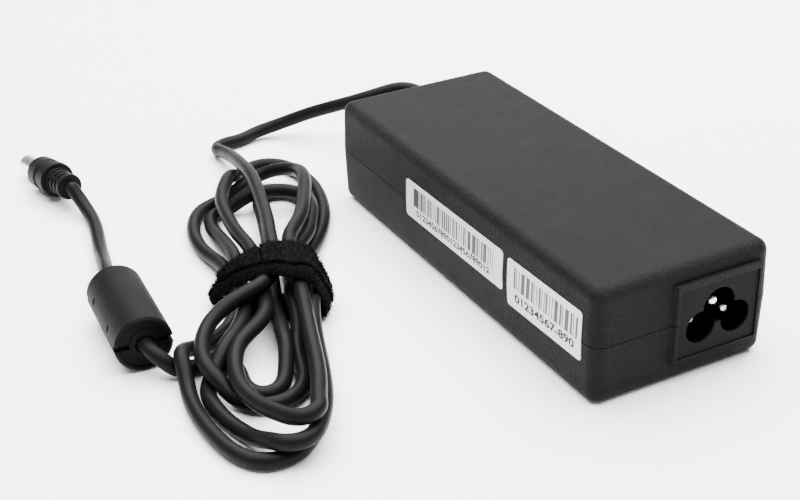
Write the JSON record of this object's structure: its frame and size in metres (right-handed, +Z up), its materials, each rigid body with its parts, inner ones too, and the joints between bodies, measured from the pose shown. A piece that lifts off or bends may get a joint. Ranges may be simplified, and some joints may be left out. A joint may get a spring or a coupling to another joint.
{
  "type": "laptop power adapter",
  "caption": "Closed power brick with a three-lobed mains inlet, and a strapped coil of low-voltage cord with a clip-on ferrite and a barrel plug.",
  "frame": {"origin": "centre of the brick's underside, on the ground", "axes": "+X towards the mains inlet, +Z up, -Y towards the labelled long side and the coil"},
  "size_m": [0.1896, 0.1389, 0.03],
  "materials": {
    "case_plastic": "fine spark-eroded texture",
    "inlet_plastic": "smooth",
    "label": "printed film",
    "dark_label": "printed film",
    "contact_metal": "nickel plated",
    "copper": "enamelled",
    "wire_insulation": "smooth",
    "board": "solder mask",
    "film": "translucent film",
    "glass_tube": "clear",
    "yellow_plastic": "moulded box",
    "blue_coating": "dipped coating",
    "green_coating": "powder coating",
    "ferrite": "sintered",
    "can_sleeve": "shrink sleeve",
    "heatsink_metal": "mill finish",
    "steel": "zinc plated",
    "black_epoxy": "moulded package",
    "bobbin_plastic": "moulded",
    "tape": "wound tape",
    "cord_rubber": "satin",
    "strap_fabric": "hook and loop pile",
    "clip_plastic": "satin",
    "plug_plastic": "satin",
    "plug_rubber": "satin",
    "insulator": "smooth"
  },
  "bodies": {
    "brick": {"top_shell": "case_plastic", "bottom_shell": "case_plastic", "label_long": "label", "label_short": "label", "rating_label": "dark_label", "inlet_body": "inlet_plastic", "earth_pin": "contact_metal", "line_pins": "contact_metal", "inlet_wires": "wire_insulation", "output_wires": "wire_insulation", "circuit_board": "board", "insulating_sheet": "film", "fuse_tube": "glass_tube", "fuse_caps": "contact_metal", "inrush_thermistor": "green_coating", "line_capacitor": "yellow_plastic", "choke_core": "ferrite", "choke_windings": "copper", "bridge_rectifier": "black_epoxy", "bulk_capacitor": "can_sleeve", "primary_heatsink": "heatsink_metal", "primary_switch": "black_epoxy", "primary_screw": "steel", "transformer_core": "ferrite", "transformer_bobbin": "bobbin_plastic", "transformer_winding": "tape", "secondary_heatsink": "heatsink_metal", "output_rectifier": "black_epoxy", "output_screw": "steel", "output_capacitors": "can_sleeve", "output_choke": "copper", "isolation_capacitor": "blue_coating", "optocoupler": "black_epoxy", "switching_controller": "black_epoxy", "cord_boot": "cord_rubber"},
    "cord": {"cord": "cord_rubber", "strap_band": "strap_fabric", "strap_end": "strap_fabric", "ferrite_case_lower": "clip_plastic", "ferrite_core_lower": "ferrite", "ferrite_pin": "steel"},
    "ferrite_lid": {"ferrite_case_upper": "clip_plastic", "ferrite_core_upper": "ferrite"},
    "plug": {"plug_boot": "plug_rubber", "plug_grip": "plug_plastic", "plug_barrel": "contact_metal", "plug_conductor": "copper", "plug_insulator": "insulator", "plug_contact": "contact_metal"},
    "strap_tab": {"strap_tab": "strap_fabric"}
  },
  "joints": [
    {"name": "cord_swing", "type": "hinge", "parent": "brick", "child": "cord", "pos_m": [-0.072, 0.013, 0.0156], "axis": [0, 0, 1], "range_deg": [-25, 12]},
    {"name": "ferrite_lid_hinge", "type": "hinge", "parent": "cord", "child": "ferrite_lid", "pos_m": [-0.01715, -0.09942, 0.0072], "axis": [-0.9974, 0.0715, 0], "range_deg": [0, 85]},
    {"name": "plug_flex", "type": "hinge", "parent": "cord", "child": "plug", "pos_m": [-0.09393, -0.09667, 0.00732], "axis": [0, 0, 1], "range_deg": [-20, 20]},
    {"name": "strap_peel", "type": "hinge", "parent": "cord", "child": "strap_tab", "pos_m": [-0.01564, -0.07042, 0.01622], "axis": [-0.9613, 0.2756, 0], "range_deg": [0, 60]}
  ]
}
